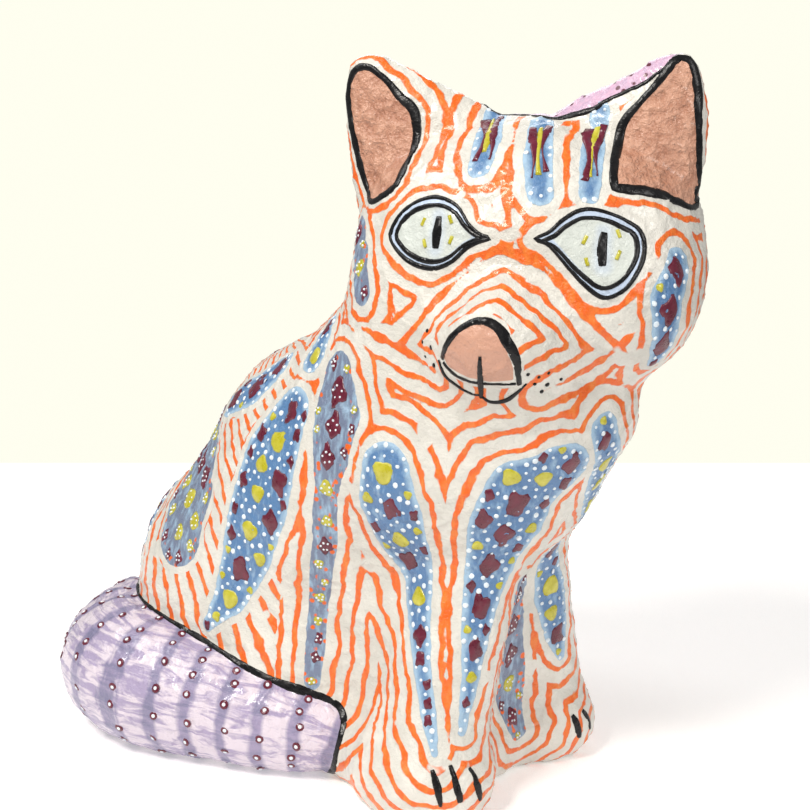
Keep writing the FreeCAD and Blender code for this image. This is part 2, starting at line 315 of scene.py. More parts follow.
def smooth_line(points, step, closed=False):
    """Points at even steps along a smooth curve through the given ones."""
    control = [Vector(p) for p in points]
    count = len(control)
    runs = count if closed else count - 1
    fine = []
    for i in range(runs):
        if closed:
            a, b, c, d = [control[(i + k) % count] for k in (-1, 0, 1, 2)]
        else:
            a, b, c, d = [control[min(max(i + k, 0), count - 1)] for k in (-1, 0, 1, 2)]
        for k in range(12):
            t = k / 12
            fine.append(0.5 * (2 * b + (c - a) * t + (2 * a - 5 * b + 4 * c - d) * t * t
                               + (3 * b - 3 * c + d - a) * t ** 3))
    fine.append(control[0] if closed else control[-1])
    even = [fine[0]]
    carried = 0.0
    for start, end in zip(fine, fine[1:]):
        length = (end - start).length
        while carried + length >= step and length > 0:
            start = start + (end - start) * ((step - carried) / length)
            length = (end - start).length
            even.append(start)
            carried = 0.0
        carried += length
    if not closed:
        even.append(fine[-1])
    return even


surface = skin.tree()


def on_skin(p):
    """Nearest point of the skin, and the outward normal there."""
    place, normal, _, _ = surface.find_nearest(p)
    return place, normal


def from_front(across, up):
    """Point of the face seen straight from in front at these millimetres."""
    ray = HEAD_AXES @ Vector((0, 1, 0))
    place, normal, _, _ = surface.ray_cast(head_point(across, -150, up), ray)
    return place


def from_above(across, backwards):
    """Point of the head's top straight above these millimetres."""
    place, _, _, _ = surface.ray_cast(head_point(across, backwards, 150), HEAD_AXES @ Vector((0, 0, -1)))
    return place


def face_line(points, closed, step=1.4):
    """A smooth line drawn on the face seen from in front, laid on the skin."""
    flat = smooth_line([(x, z, 0) for x, z in points], step, closed)
    return [from_front(p.x, p.y) or on_skin(head_point(p.x, 0, p.y))[0] for p in flat]


def patch_lines():
    """Every patch as its name, style, middle line on the skin and half widths."""
    found = []
    for name, style, points in BODY_PATCHES:
        line = [on_skin(Vector(p[:3]) * MM)[0] for p in points]
        found.append((name, style, line, [p[3] * MM for p in points]))
    for name, style, points in HEAD_PATCHES:
        line = [on_skin(head_point(*p[:3]))[0] for p in points]
        found.append((name, style, line, [p[3] * MM for p in points]))
    return found


patches = patch_lines()
patch_gap = {name: distance_to_line(skin.points, line, radii) for name, _, line, radii in patches}

in_head = (skin.points - np.array(HEAD_CENTRE)) @ np.array(HEAD_AXES) / MM
facing = -(skin.normals @ np.array(HEAD_AXES))[:, 1]
on_face = (in_head[:, 2] > -48) & (facing > 0.0) & (in_head[:, 1] < 12)
FAR = 60.0


def face_field(outline):
    """Distance from an outline on the face in millimetres, and far away everywhere else."""
    values = distance_in_outline(in_head[:, 0], in_head[:, 2], outline)
    return np.where(on_face, values, FAR)


def face_gap(points, closed, width):
    """Distance in millimetres, straight through space, from a line drawn on the face."""
    path = face_line(points, closed, 3.0)
    path = path + path[:1] if closed else path
    return distance_to_line(skin.points, path, [width] * len(path)) / MM


eye_gap = np.minimum(*[face_field([p for p in outline]) for outline in EYES.values()])
nose_gap = face_field(NOSE)
ear_gap = np.minimum(*[face_field(outline) for outline in EARS.values()])
blue_gap = np.min([patch_gap[p[0]] for p in patches if p[1] == 0], axis=0) / MM
grey_gap = np.min([patch_gap[p[0]] for p in patches if p[1] == 1], axis=0) / MM


# ---- which piece each face belongs to ---------------------------------------------------------------------------
def node_tree(names):
    mesh = joined_mesh(names, "probe")
    tree = BVHTree.FromPolygons([v.co for v in mesh.vertices], [p.vertices for p in mesh.polygons])
    bpy.data.meshes.remove(mesh)
    return tree


def nearness(node, others):
    """How much nearer each point is to one node than to the others: negative on the node's own skin."""
    low, high = [np.array(c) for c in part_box(node)]
    reach = 12 * MM
    near = np.all((skin.points > low - reach) & (skin.points < high + reach), axis=1)
    values = np.full(len(skin.points), reach)
    for i in np.flatnonzero(near):
        p = skin.points[i]
        values[i] = own_distance(node_trees[node], p) - own_distance(others, p)
    return skin.relaxed(np.clip(values, -reach, reach), 4)


def own_distance(tree, p):
    return tree.find_nearest(p)[3]


node_trees = {name: node_tree((name,)) for name in ADDED_NODES}
main_tree = node_tree(BODY_NODES)
side_of = {name: nearness(name, main_tree) for name in ADDED_NODES}
tail_side = side_of["tail_shell"] / MM


def straightened_tail():
    """Each point as if the tail were straight, in millimetres: along it from the tip, sideways, and up."""
    middle = np.array(smooth_line([datum_point(x, y, 0.95 * r) for x, y, r in TAIL], 2 * MM))
    straight = np.zeros((len(skin.points), 3))
    for i in np.flatnonzero(tail_side < 9):
        p = skin.points[i]
        apart = np.linalg.norm(middle - p, axis=1)
        k = min(int(apart.argmin()), len(middle) - 2)
        along = middle[k + 1] - middle[k]
        share = (p - middle[k]) @ along / (along @ along)
        spoke = (p - middle[k] - share * along) / MM
        level = np.array((along[1], -along[0], 0.0)) / np.hypot(along[0], along[1])
        straight[i] = ((k + share) * 2, spoke @ level, spoke[2])
    return straight


tail_place = straightened_tail()
tail_along = tail_place[:, 0]

pupil_gap = np.minimum(*[face_gap(line, False, 0.0) for line in PUPILS.values()])
crest_y = np.interp(in_head[:, 0], *zip(*CREST))
crown_gap = np.maximum(crest_y - in_head[:, 1], CREST_FLOOR - in_head[:, 2])
crown_gap = np.where(skin.points[:, 2] > NECK_Z, crown_gap, FAR)

# Orange lines run at even distances round what is painted and round the guides, so they flow with them.
around = [face_gap(outline, True, 0.0) for outline in (*EYES.values(), *EARS.values())]
around += [face_gap(guide, False, 0.0) + FIRST_LINE for guide in FACE_GUIDES]
flow = np.minimum.reduce(around + [blue_gap, grey_gap])
bare = np.minimum.reduce([eye_gap, nose_gap - 1.5, ear_gap, blue_gap, grey_gap, crown_gap])


def fringe():
    """Strokes that hang down round the hindquarters: evenly spaced turns about an upright line."""
    x = skin.points[:, 0] / MM - FRINGE_CENTRE[0]
    y = skin.points[:, 1] / MM - FRINGE_CENTRE[1]
    z = skin.points[:, 2] / MM
    return FRINGE_RADIUS * np.arctan2(x, y) - FRINGE_SWEEP * z * z


hind_gap = np.maximum(FRINGE_FRONT_Y - skin.points[:, 1] / MM, skin.points[:, 2] / MM - FRINGE_TOP_Z)


# ---- materials ------------------------------------------------------------------------------------------------
class Shader:
    """Short calls for building one material's nodes."""

    def __init__(self, name, roughness=0.4, coat=0.0, coat_roughness=0.1):
        self.material = bpy.data.materials.new(name)
        self.material.use_nodes = True
        self.tree = self.material.node_tree
        self.tree.nodes.clear()
        self.output = self.tree.nodes.new("ShaderNodeOutputMaterial")
        self.surface = self.tree.nodes.new("ShaderNodeBsdfPrincipled")
        self.surface.inputs["Roughness"].default_value = roughness
        self.surface.inputs["Coat Weight"].default_value = coat
        self.surface.inputs["Coat Roughness"].default_value = coat_roughness
        self.tree.links.new(self.surface.outputs[0], self.output.inputs["Surface"])
        self.place = self.tree.nodes.new("ShaderNodeTexCoord").outputs["Object"]

    def put(self, value, socket):
        if isinstance(value, bpy.types.NodeSocket):
            self.tree.links.new(value, socket)
        elif isinstance(value, tuple) and len(value) == 3 and socket.type == "RGBA":
            socket.default_value = (*value, 1.0)
        else:
            socket.default_value = value

    def math(self, kind, a, b=0.0, c=0.0):
        node = self.tree.nodes.new("ShaderNodeMath")
        node.operation = kind
        for value, socket in zip((a, b, c), node.inputs):
            self.put(value, socket)
        return node.outputs[0]

    def field(self, name, output="Fac"):
        node = self.tree.nodes.new("ShaderNodeAttribute")
        node.attribute_name = name
        return node.outputs[output]

    def noise(self, per_metre, detail=2.0, roughness=0.5, warp=0.0, stretch=None, place=None):
        node = self.tree.nodes.new("ShaderNodeTexNoise")
        node.inputs["Scale"].default_value = per_metre
        node.inputs["Detail"].default_value = detail
        node.inputs["Roughness"].default_value = roughness
        node.inputs["Distortion"].default_value = warp
        place = place or self.place
        if stretch:
            scale = self.tree.nodes.new("ShaderNodeMapping")
            scale.inputs["Scale"].default_value = stretch
            self.tree.links.new(place, scale.inputs["Vector"])
            place = scale.outputs[0]
        self.tree.links.new(place, node.inputs["Vector"])
        return node.outputs["Fac"]

    def cells(self, per_metre, feature="F1"):
        node = self.tree.nodes.new("ShaderNodeTexVoronoi")
        node.feature = feature
        node.inputs["Scale"].default_value = per_metre
        self.tree.links.new(self.place, node.inputs["Vector"])
        return node.outputs["Distance"]

    def ramp(self, value, low, high, start=0.0, end=1.0):
        """The value taken from low..high to start..end, and held there."""
        node = self.tree.nodes.new("ShaderNodeMapRange")
        for item, socket in zip((value, low, high, start, end), node.inputs):
            self.put(item, socket)
        return node.outputs[0]

    def below(self, value, edge, softness=0.12):
        """1 where the value is under the edge, 0 above it."""
        return self.ramp(value, edge - softness, edge + softness, 1.0, 0.0)

    def mix(self, share, a, b):
        node = self.tree.nodes.new("ShaderNodeMix")
        node.data_type = "RGBA"
        self.put(share, node.inputs["Factor"])
        self.put(a, node.inputs[6])
        self.put(b, node.inputs[7])
        return node.outputs[2]

    def bump(self, height, depth):
        node = self.tree.nodes.new("ShaderNodeBump")
        node.inputs["Distance"].default_value = depth
        self.tree.links.new(height, node.inputs["Height"])
        self.tree.links.new(node.outputs[0], self.surface.inputs["Normal"])

    def finish(self, colour, roughness=None):
        self.put(colour, self.surface.inputs["Base Color"])
        if roughness is not None:
            self.put(roughness, self.surface.inputs["Roughness"])
        return self.material


WHITE = (0.74, 0.72, 0.66)
WHITE_SHADE = (0.60, 0.585, 0.53)
ORANGE = (0.80, 0.12, 0.0)
ORANGE_THIN = (0.82, 0.21, 0.025)
BLUE = (0.085, 0.20, 0.40)
BLUE_PALE = (0.34, 0.50, 0.66)
GREY_BLUE = (0.16, 0.20, 0.30)
EYE_BLUE = (0.50, 0.60, 0.76)
EYE_WHITE = (0.60, 0.64, 0.60)
NOSE_TAN = (0.55, 0.28, 0.20)
EAR_TAN = (0.64, 0.35, 0.24)
# Painted shade: the darker ear tan goes into the hollows of the lumps that the ear bump raises.
EAR_TAN_HOLLOW_SHADE = (0.44, 0.20, 0.125)
LILAC = (0.37, 0.31, 0.47)
LILAC_PALE = (0.70, 0.62, 0.70)
LILAC_DARK = (0.19, 0.18, 0.30)
CROWN_PINK = (0.84, 0.50, 0.64)
MAROON = (0.10, 0.004, 0.020)
YELLOW = (0.44, 0.40, 0.012)
BLACK = (0.004, 0.004, 0.005)
DOT_WHITE = (0.80, 0.86, 0.90)


def paper_relief(shader, extra=None):
    """Fine relief of brushed paint over paper fibres."""
    fibres = shader.noise(900, 3.0, 0.6, 0.4)
    pores = shader.noise(330, 2.0, 0.5, 1.0)
    height = shader.math("MULTIPLY_ADD", pores, 0.8, fibres)
    if extra is not None:
        height = shader.math("ADD", height, extra)
    shader.bump(height, 0.5 * MM)


def painted_paper():
    """Glossy white paint with orange lines, blue patches and the eyes, nose and ears over it."""
    s = Shader("painted_paper", 0.34, 0.30, 0.12)
    wobble = s.math("SUBTRACT", s.noise(85, 1.0, 0.5), 0.5)
    tremble = s.math("SUBTRACT", s.noise(320, 1.0, 0.5), 0.5)
    wave = s.math("MULTIPLY_ADD", wobble, 5.5, s.math("MULTIPLY", tremble, 1.3))
    mottle = s.noise(60, 3.0, 0.6)
    streak = s.noise(420, 2.0, 0.55, 0.0, stretch=(1.0, 1.0, 0.35))

    white = s.mix(s.ramp(mottle, 0.35, 0.7), WHITE, WHITE_SHADE)

    near = s.math("MINIMUM", s.field("blue"), s.field("grey"))
    hind = s.math("MAXIMUM", s.math("ADD", s.field("hind"), wave), s.math("SUBTRACT", 2.9, near))
    hanging = s.below(hind, 0.0, 0.01)
    flowing = s.math("ADD", s.field("flow"), wave)
    falling = s.math("MULTIPLY_ADD", wave, 0.7, s.field("fringe"))
    gap = s.math("MULTIPLY_ADD", hanging, s.math("SUBTRACT", falling, flowing), flowing)
    phase = s.math("DIVIDE", s.math("SUBTRACT", gap, FIRST_LINE - LINE_PITCH / 2), LINE_PITCH)
    apart = s.math("MULTIPLY", s.math("ABSOLUTE", s.math("SUBTRACT", s.math("FRACT", phase), 0.5)), LINE_PITCH)
    width = s.math("MULTIPLY_ADD", s.noise(130, 2.0, 0.6), 1.5, LINE_HALF_WIDTH - 0.75)
    line = s.ramp(s.math("SUBTRACT", apart, width), -0.18, 0.18, 1.0, 0.0)
    line = s.math("MULTIPLY", line, s.ramp(s.noise(48, 2.0, 0.5), 0.335, 0.35))
    line = s.math("MULTIPLY", line, s.ramp(s.field("bare"), 1.6, 1.9))
    orange = s.mix(s.ramp(streak, 0.42, 0.72), ORANGE, ORANGE_THIN)
    colour = s.mix(line, white, orange)

    edge = s.math("MULTIPLY_ADD", wobble, 1.6, s.math("MULTIPLY", tremble, 0.8))
    blue = s.math("ADD", s.field("blue"), edge)
    pale = s.ramp(s.math("MULTIPLY_ADD", streak, 3.0, blue), -1.6, 0.6)
    brushed = s.mix(s.math("MAXIMUM", pale, s.ramp(streak, 0.52, 0.74, 0.0, 0.75)), BLUE, BLUE_PALE)
    inside_blue = s.below(blue, 0.0)
    colour = s.mix(inside_blue, colour, brushed)

    grey = s.math("ADD", s.field("grey"), edge)
    washed = s.mix(s.ramp(streak, 0.45, 0.75), GREY_BLUE, BLUE_PALE)
    dashes = s.math("MULTIPLY", s.below(s.cells(300), 0.30, 0.04), s.ramp(grey, -3.6, -3.0))
    colour = s.mix(s.below(grey, 0.0), colour, s.mix(dashes, washed, ORANGE))

    eye = s.field("eye")
    ball = s.mix(s.ramp(s.math("MULTIPLY_ADD", mottle, 0.8, eye), -2.2, -1.4), EYE_WHITE, EYE_BLUE)
    iris = s.ramp(s.math("MULTIPLY_ADD", mottle, 3.0, s.field("pupil")), 3.2, 5.6, 0.45, 0.0)
    colour = s.mix(s.below(eye, 0.0), colour, s.mix(iris, ball, EYE_BLUE))

    colour = s.mix(s.below(s.field("nose"), 0.0), colour, s.mix(mottle, NOSE_TAN, EAR_TAN))
    ear = s.below(s.field("ear"), 0.0)
    lumps = s.noise(190, 3.0, 0.6)
    # The ear panels are painted darker in the hollows of the lumps that the bump below raises: painted shade.
    colour = s.mix(ear, colour, s.mix(s.ramp(lumps, 0.35, 0.68), EAR_TAN_HOLLOW_SHADE, EAR_TAN))

    crown = s.field("crown")
    marks = s.below(s.cells(260), 0.26, 0.04)
    colour = s.mix(s.below(crown, 0.0), colour, s.mix(marks, s.mix(streak, CROWN_PINK, LILAC), MAROON))

    paint = s.math("MAXIMUM", line, s.math("MAXIMUM", inside_blue, ear))
    lumpy = s.math("MULTIPLY", s.math("MULTIPLY", ear, lumps), 7.0)
    paper_relief(s, s.math("MULTIPLY_ADD", paint, 0.35, lumpy))
    gloss = s.ramp(s.noise(35, 2.0, 0.5), 0.3, 0.7, 0.26, 0.44)
    return s.finish(colour, gloss)


BAND_PITCH = 14.0


def tail_paper():
    """Lilac paint streaked along the tail, crossed by dark bands."""
    s = Shader("tail_paper", 0.36, 0.4, 0.14)
    straight = s.field("tail_place", "Vector")
    parts = s.tree.nodes.new("ShaderNodeSeparateXYZ")
    s.tree.links.new(straight, parts.inputs[0])
    wobble = s.math("SUBTRACT", s.noise(60, 2.0, 0.6), 0.5)
    strokes = s.noise(0.27, 3.0, 0.62, 0.9, (0.20, 1.0, 1.0), straight)
    clouds = s.noise(55, 2.0, 0.6)
    shade = s.math("MULTIPLY_ADD", clouds, 0.35, s.math("SUBTRACT", strokes, 0.175))
    base = s.mix(s.ramp(shade, 0.42, 0.56), LILAC, LILAC_PALE)
    place = s.math("MULTIPLY_ADD", wobble, 6.0, parts.outputs[0])
    phase = s.math("FRACT", s.math("DIVIDE", place, BAND_PITCH))
    apart = s.math("MULTIPLY", s.math("ABSOLUTE", s.math("SUBTRACT", phase, 0.5)), BAND_PITCH)
    width = s.math("MULTIPLY_ADD", s.noise(70, 2.0, 0.6), 3.4, 0.6)
    band = s.ramp(s.math("SUBTRACT", apart, width), -0.8, 0.8, 1.0, 0.0)
    dark = s.mix(s.ramp(shade, 0.36, 0.64, 0.0, 0.75), LILAC_DARK, LILAC)
    colour = s.mix(band, base, dark)
    paper_relief(s, s.math("MULTIPLY", strokes, 0.9))
    gloss = s.ramp(s.noise(35, 2.0, 0.5), 0.3, 0.7, 0.26, 0.44)
    return s.finish(colour, gloss)


def acrylic(name, colour, lighter, roughness=0.3, coat=0.35):
    """Thick glossy paint put on with a small brush."""
    s = Shader(name, roughness, coat, 0.09)
    patchy = s.noise(240, 3.0, 0.6)
    s.bump(s.noise(700, 2.0, 0.6), 0.22 * MM)
    return s.finish(s.mix(s.ramp(patchy, 0.42, 0.75), colour, lighter),
                    s.ramp(patchy, 0.3, 0.7, roughness - 0.08, roughness + 0.1))


def newsprint():
    """Bare pasted newspaper, seen only inside the hollow shells."""
    s = Shader("newsprint", 0.85)
    fibres = s.noise(700, 4.0, 0.65, 0.5)
    colour = s.mix(fibres, (0.46, 0.42, 0.34), (0.62, 0.58, 0.49))
    s.bump(fibres, 0.3 * MM)
    return s.finish(colour)


def greyboard():
    """Plain card with small dark flecks."""
    s = Shader("greyboard", 0.8)
    fibres = s.noise(500, 4.0, 0.7)
    flecks = s.below(s.cells(420), 0.12, 0.05)
    colour = s.mix(flecks, s.mix(fibres, (0.30, 0.26, 0.20), (0.45, 0.40, 0.32)), (0.12, 0.10, 0.08))
    s.bump(fibres, 0.2 * MM)
    return s.finish(colour)


def tablecloth():
    """Pale woven fabric under the cat."""
    s = Shader("tablecloth", 0.9)
    s.surface.inputs["Emission Color"].default_value = (1.0, 0.985, 0.96, 1.0)
    s.surface.inputs["Emission Strength"].default_value = 0.32
    weave = s.noise(1500, 2.0, 0.5)
    s.bump(weave, 0.2 * MM)
    return s.finish(s.mix(weave, (0.84, 0.83, 0.83), (0.90, 0.89, 0.89)))


# ---- pieces of the skin ---------------------------------------------------------------------------------------
def add_piece(name, vertices, faces, material, nodes=()):
    mesh = bpy.data.meshes.new(name)
    mesh.from_pydata(vertices, [], faces)
    mesh.polygons.foreach_set("use_smooth", [True] * len(mesh.polygons))
    mesh.materials.append(material)
    mesh.update()
    piece = bpy.data.objects.new(name, mesh)
    bpy.context.collection.objects.link(piece)
    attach(piece, "root")
    if nodes:
        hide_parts(*nodes)
    return piece


def face_owner():
    """The CAD node that each face of the skin belongs to."""
    middle = skin.points[skin.faces].mean(axis=1)
    head_y = in_head[skin.faces].mean(axis=1)[:, 1]
    right = middle[:, 0] < MIDPLANE_X
    leg = (middle[:, 2] < LEG_TOP_Z) & (middle[:, 1] < LEG_BACK_Y)
    owner = np.where(right, "body_shell_right", "body_shell_left").astype("U24")
    owner[leg & right] = "foreleg_right"
    owner[leg & ~right] = "foreleg_left"
    head = middle[:, 2] > NECK_Z
    owner[head] = "back_of_head_shell"
    owner[head & (head_y < EAR_PLANE_Y / MM)] = "face_shell"
    for node in ADDED_NODES:
        owner[side_of[node][skin.faces].mean(axis=1) < 0] = node
    under = (middle[:, 2] < 0.8 * MM) & (owner != "tail_shell") & (owner != "hind_paw_left")
    owner[under] = "base_board"
    return owner


def shell_piece(node, faces, fields, material):
    """A closed wall of even thickness behind the given faces of the skin."""
    used, local = np.unique(faces, return_inverse=True)
    local = local.reshape(-1, 4)
    count = len(used)
    outer = skin.points[used]
    inner = outer - skin.normals[used] * SKIN_WALL
    runs = np.concatenate([local[:, [i, (i + 1) % 4]] for i in range(4)])
    keys = runs[:, 0].astype(np.int64) * count + runs[:, 1]
    back = runs[:, 1].astype(np.int64) * count + runs[:, 0]
    rim = runs[~np.isin(keys, back)]
    wall = np.column_stack((rim[:, 1], rim[:, 0], rim[:, 0] + count, rim[:, 1] + count))
    everything = np.concatenate((local, local[:, ::-1] + count, wall))
    piece = add_piece(node + "_skin", np.concatenate((outer, inner)).tolist(), everything.tolist(), material,
                      (node,))
    for name, values in fields.items():
        kind, key = ("FLOAT_VECTOR", "vector") if values.ndim == 2 else ("FLOAT", "value")
        layer = piece.data.attributes.new(name, kind, "POINT")
        layer.data.foreach_set(key, np.concatenate((values[used], values[used])).astype(np.float32).ravel())
    normals = np.concatenate((skin.normals[used], -skin.normals[used]))
    piece.data.normals_split_custom_set_from_vertices(normals.tolist())
    return piece


def make_skin_pieces():
    owner = face_owner()
    body_paint = painted_paper()
    tail_paint = tail_paper()
    card = greyboard()
    for node in BODY_NODES + ADDED_NODES + ("base_board",):
        faces = skin.faces[owner == node]
        if node == "tail_shell":
            shell_piece(node, faces, {"tail_place": tail_place}, tail_paint)
        elif node == "base_board":
            shell_piece(node, faces, {}, card)
        else:
            shell_piece(node, faces, PAINT_FIELDS, body_paint)


PAINT_FIELDS = {"flow": flow, "fringe": fringe(), "hind": hind_gap, "bare": bare, "blue": blue_gap, "grey": grey_gap, "eye": eye_gap, "pupil": pupil_gap,
                "nose": nose_gap, "ear": ear_gap, "crown": crown_gap}
make_skin_pieces()

inside_card = greyboard()
inside_paper = newsprint()
for node, material in (("tail_core", inside_paper), ("neck_collar", inside_card), ("spine_tube", inside_card),
                       ("leg_roll_right", inside_paper), ("leg_roll_left", inside_paper)):
    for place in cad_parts[node].material_slots:
        place.material = material


# ---- raised paint -----------------------------------------------------------------------------------------------
class Paint:
    """Closed raised strokes, blobs and dots of one paint, gathered into one piece."""

    def __init__(self):
        self.vertices = []
        self.faces = []

    def ribbon(self, path, width, height=0.45 * MM, closed=False):
        """A brush stroke along a path on the skin; width is a number or one number per point."""
        count = len(path)
        if count < 3:
            return
        widths = width if isinstance(width, (list, tuple)) else [width] * count
        profile = ((-0.5, -0.35), (-0.5, 0.25), (-0.3, 0.85), (0.0, 1.0), (0.3, 0.85), (0.5, 0.25), (0.5, -0.35))
        start = len(self.vertices)
        for i, p in enumerate(path):
            before = path[(i - 1) % count if closed else max(i - 1, 0)]
            after = path[(i + 1) % count if closed else min(i + 1, count - 1)]
            place, normal = on_skin(p)
            across = (after - before).cross(normal).normalized()
            for offset, rise in profile:
                point = place + across * (offset * widths[i])
                if abs(offset) > 0.4:
                    point = on_skin(point)[0]
                self.vertices.append(point + normal * (rise * height))
        ring = len(profile)
        for i in range(count if closed else count - 1):
            a = start + i * ring
            b = start + (i + 1) % count * ring
            for k in range(ring):
                self.faces.append((a + k, b + k, b + (k + 1) % ring, a + (k + 1) % ring))
        if not closed:
            self.faces.append(tuple(start + k for k in range(ring)))
            self.faces.append(tuple(start + (count - 1) * ring + k for k in reversed(range(ring))))

    def dome(self, centre, outline, normal, height, fit=True):
        """A rounded blob on the skin inside an outline of offsets from its centre."""
        start = len(self.vertices)
        count = len(outline)
        for reach, rise in ((1.0, -0.6), (1.0, 0.15), (0.82, 0.8)):
            for offset in outline:
                point = centre + offset * reach
                if fit:
                    point = on_skin(point)[0]
                self.vertices.append(point + normal * (rise * height))
        self.vertices.append(centre + normal * height)
        self.vertices.append(centre - normal * (0.6 * height))
        for i in range(count):
            j = (i + 1) % count
            for level in (0, count):
                self.faces.append((start + level + i, start + level + j, start + level + count + j,
                                   start + level + count + i))
            self.faces.append((start + 2 * count + i, start + 2 * count + j, start + 3 * count))
            self.faces.append((start + j, start + i, start + 3 * count + 1))

    def dot(self, centre, radius, height=0.32 * MM, sides=8):
        place, normal = on_skin(centre)
        first = normal.orthogonal().normalized()
        second = normal.cross(first)
        turns = [2 * math.pi * i / sides for i in range(sides)]
        outline = [(first * math.cos(t) + second * math.sin(t)) * radius for t in turns]
        self.dome(place, outline, normal, height, fit=False)

    def blob(self, centre, radius, lengthen, dice, corners=0.16, height=0.4 * MM):
        """An uneven dab, longer up and down than across."""
        place, normal = on_skin(centre)
        across = normal.cross(Vector((0, 0, 1)))
        across = across.normalized() if across.length > 0.2 else Vector((1, 0, 0))
        upward = across.cross(normal).normalized()
        sides = 16
        lean = dice.uniform(0, 2 * math.pi)
        second_lean = dice.uniform(0, 2 * math.pi)
        outline = []
        for i in range(sides):
            t = 2 * math.pi * i / sides
            reach = radius * (1 + corners * math.sin(4 * t + lean) + 0.12 * math.sin(3 * t + second_lean))
            outline.append(across * (math.cos(t) * reach) + upward * (math.sin(t) * reach * lengthen))
        self.dome(place, outline, normal, height)

    def piece(self, name, material):
        return add_piece(name, [v[:] for v in self.vertices], self.faces, material)


def uneven(count, base, share, dice):
    """Stroke widths that swell and thin like a hand-held brush."""
    first, second = dice.uniform(0, 9), dice.uniform(0, 9)
    return [base * (1 + share * 0.5 * (math.sin(first + i * 0.31) + math.sin(second + i * 0.13)))
            for i in range(count)]


def ink(path, width, dice, closed=False, taper=False):
    """A black stroke of uneven width, thinner towards its ends where asked."""
    widths = uneven(len(path), width, 0.28, dice)
    if taper:
        last = max(len(path) - 1, 1)
        widths = [w * (0.35 + 0.65 * math.sin(math.pi * (0.08 + 0.84 * i / last))) for i, w in enumerate(widths)]
    return path, widths, 0.45 * MM, closed


dice = random.Random(7)
black = acrylic("black_paint", BLACK, (0.010, 0.010, 0.011), 0.28, 0.0)
black.node_tree.nodes["Principled BSDF"].inputs["Specular IOR Level"].default_value = 0.3
maroon = acrylic("maroon_paint", MAROON, (0.16, 0.012, 0.035), 0.3, 0.2)
yellow = acrylic("yellow_paint", YELLOW, (0.62, 0.58, 0.08))
white = acrylic("white_paint", DOT_WHITE, (0.62, 0.72, 0.80))


# ---- black lines ------------------------------------------------------------------------------------------------
def scaled(outline, across, up):
    """The outline drawn in towards its middle."""
    middle_x = sum(x for x, _ in outline) / len(outline)
    middle_z = sum(z for _, z in outline) / len(outline)
    return [(middle_x + (x - middle_x) * across, middle_z + (z - middle_z) * up) for x, z in outline]


def make_face_lines():
    paint = Paint()
    for name, outline in EYES.items():
        paint.ribbon(*ink(face_line(outline, True), 1.5 * MM, dice, closed=True))
        paint.ribbon(*ink(face_line(scaled(outline, 0.87, 0.80), True), 1.6 * MM, dice, closed=True))
        slit = face_line(PUPILS[name], False, 0.8)
        paint.ribbon(slit, [3.4 * MM * math.sin(math.pi * (0.12 + 0.76 * i / (len(slit) - 1))) ** 0.5
                            for i in range(len(slit))], height=0.3 * MM)
    paint.ribbon(*ink(face_line(NOSE_ARCH, False), 3.3 * MM, dice, taper=True))
    paint.ribbon(*ink(face_line(NOSE_FOOT, False), 1.2 * MM, dice))
    paint.ribbon(*ink(face_line(NOSE_BAR, False), 2.0 * MM, dice, taper=True))
    for line in MOUTH:
        paint.ribbon(*ink(face_line(line, False), 1.5 * MM, dice, taper=True))
    for x, z in WHISKER_ROOTS:
        paint.dot(from_front(x, z), dice.uniform(0.55, 0.95) * MM)
    paint.piece("black_face_lines", black)


def make_ear_lines():
    paint = Paint()
    for name, outline in EARS.items():
        paint.ribbon(*ink(face_line(outline, True), 3.1 * MM, dice, closed=True))
    crest = [from_above(x, y) for x, y in CREST[1:-2]]
    paint.ribbon(*ink(smooth_line(crest, 1.4 * MM), 1.9 * MM, dice, taper=True))
    paint.piece("black_ear_lines", black)


def make_claws():
    paint = Paint()
    for line in CLAWS:
        path = smooth_line([Vector(p) * MM for p in line], 1.0 * MM)
        paint.ribbon(*ink(path, 3.0 * MM, dice, taper=True))
    paint.piece("black_claws", black)


def zero_line(values):
    """The longest chain of points of the skin at which values, one per point, pass through nought."""
    sign = values > 0
    mixed = np.flatnonzero(np.ptp(sign[skin.faces].astype(int), axis=1) > 0)
    links = {}
    places = {}
    for face in skin.faces[mixed].tolist():
        crossed = []
        for a, b in zip(face, face[1:] + face[:1]):
            if sign[a] != sign[b]:
                key = (min(a, b), max(a, b))
                share = values[a] / (values[a] - values[b])
                places[key] = Vector(skin.points[a]).lerp(Vector(skin.points[b]), share)
                crossed.append(key)
        if len(crossed) == 2:
            links.setdefault(crossed[0], []).append(crossed[1])
            links.setdefault(crossed[1], []).append(crossed[0])
    best = []
    while links:
        chain = [next(iter(links))]
        for _ in range(2):
            while True:
                onward = [k for k in links.get(chain[-1], ()) if k in links and k not in chain[-2:]]
                links.pop(chain[-1], None)
                if not onward:
                    break
                chain.append(onward[0])
            chain.reverse()
        if len(chain) > len(best):
            best = chain
    return [places[key] for key in best]


TAIL_LINE_SWELL = 0.9


def make_tail_line():
    """The black line where the tail meets the body, down to the table at both ends."""
    raw = zero_line(tail_side)
    count = len(raw)
    even = [sum((raw[(i + k) % count] for k in range(-6, 7)), Vector()) / 13 for i in range(0, count, 2)]
    low = min(range(len(even)), key=lambda i: even[i].z)
    even = even[low:] + even[:low]
    runs = [[]]
    for p in even:
        if p.z > 2.0 * MM:
            runs[-1].append(p)
        elif runs[-1]:
            runs.append([])
    paint = Paint()
    for run in runs:
        if len(run) > 10:
            swell = [1.0 + TAIL_LINE_SWELL * max(0.0, 1.0 - abs(p.y) / (60 * MM)) for p in run]
            widths = [w * k for w, k in zip(uneven(len(run), 1.7 * MM, 0.25, dice), swell)]
            paint.ribbon(run, widths)
    paint.piece("black_tail_line", black)


